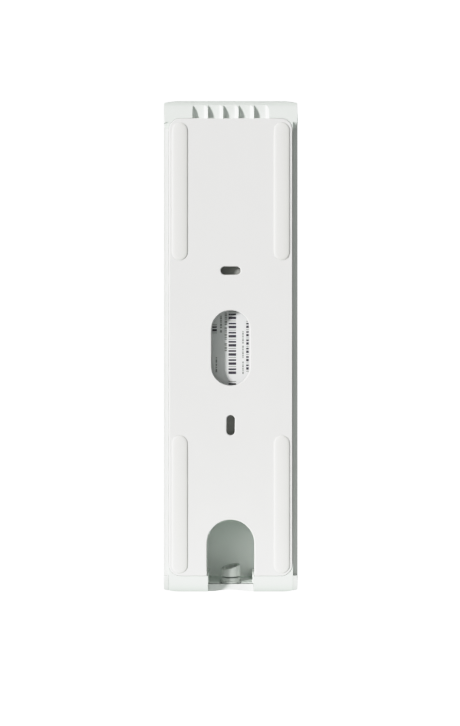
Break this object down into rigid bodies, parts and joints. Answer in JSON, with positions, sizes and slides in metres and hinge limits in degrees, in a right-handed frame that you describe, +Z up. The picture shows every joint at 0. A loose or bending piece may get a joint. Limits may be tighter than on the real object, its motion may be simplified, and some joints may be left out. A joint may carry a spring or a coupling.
{
  "type": "video doorbell",
  "caption": "Slim wall-mounted video doorbell with a hook-on wall plate, adhesive pads, cable bay, camera window and press button.",
  "frame": {"origin": "centre of the oval cable hole, on the wall plane that the pads rest against", "axes": "+Z up along the body, +Y towards the wall, -Y towards the visitor, +X to the right seen from the front"},
  "size_m": [0.0522, 0.0286, 0.1927],
  "materials": {
    "white_plate": "fine matt moulded, white",
    "white_shell": "fine matt moulded, white",
    "pad_foam": "off-white adhesive foam",
    "label_film": "satin silver label film",
    "grey_rubber": "matt light grey elastomer",
    "dark_rubber": "matt black elastomer",
    "black_gloss": "polished dark window",
    "black_plastic": "matt black",
    "lens_glass": "coated optical glass",
    "light_guide": "frosted light guide",
    "motion_lens": "translucent white, finely ribbed",
    "button_white": "semi-gloss white",
    "board_green": "green solder mask",
    "chip_black": "moulded black",
    "tin": "tin plated",
    "aluminium": "satin",
    "steel": "zinc plated",
    "gold_flex": "amber flexible circuit",
    "terminal_green": "moulded green",
    "cell_sleeve": "blue shrink sleeve"
  },
  "bodies": {
    "plate": {"wall_plate": "white_plate", "pad_upper_left": "pad_foam", "pad_upper_right": "pad_foam", "pad_lower_left": "pad_foam", "pad_lower_right": "pad_foam"},
    "unit": {"rear_housing": "white_shell", "front_cover": "white_shell", "rating_label": "label_film", "housing_seal": "dark_rubber", "cable_grommet": "grey_rubber", "blanking_plug": "grey_rubber", "terminal_block": "terminal_green", "terminal_screw_left": "steel", "terminal_screw_right": "steel", "housing_screw_upper_left": "steel", "housing_screw_upper_right": "steel", "housing_screw_lower_left": "steel", "housing_screw_lower_right": "steel", "board_screw_upper_left": "steel", "board_screw_upper_right": "steel", "board_screw_lower_left": "steel", "board_screw_lower_right": "steel", "front_window": "black_gloss", "lens_bezel": "aluminium", "lens_barrel": "black_plastic", "front_lens": "lens_glass", "image_sensor": "chip_black", "sensor_board": "board_green", "infrared_led_left": "lens_glass", "infrared_led_right": "lens_glass", "light_sensor": "chip_black", "motion_lens": "motion_lens", "motion_sensor": "tin", "button_light_ring": "light_guide", "tactile_switch": "chip_black", "main_board": "board_green", "shield_can": "tin", "heat_spreader": "aluminium", "thermal_pad": "grey_rubber", "board_connector": "black_plastic", "wifi_antenna": "gold_flex", "speaker_mesh": "steel", "speaker": "black_plastic", "microphone": "tin", "power_board": "board_green", "power_choke": "chip_black", "backup_cell": "cell_sleeve"},
    "button": {"button_cap": "button_white"}
  },
  "joints": [
    {"name": "unit_tilt", "type": "hinge", "parent": "plate", "child": "unit", "pos_m": [0, -0.0007, 0.08925], "axis": [-1, 0, 0], "range_deg": [0, 12]},
    {"name": "button_press", "type": "slide", "parent": "unit", "child": "button", "axis": [0, 1, 0], "range_m": [0, 0.0006], "stiffness_N_per_m": 1200, "springref_m": -0.0005}
  ]
}
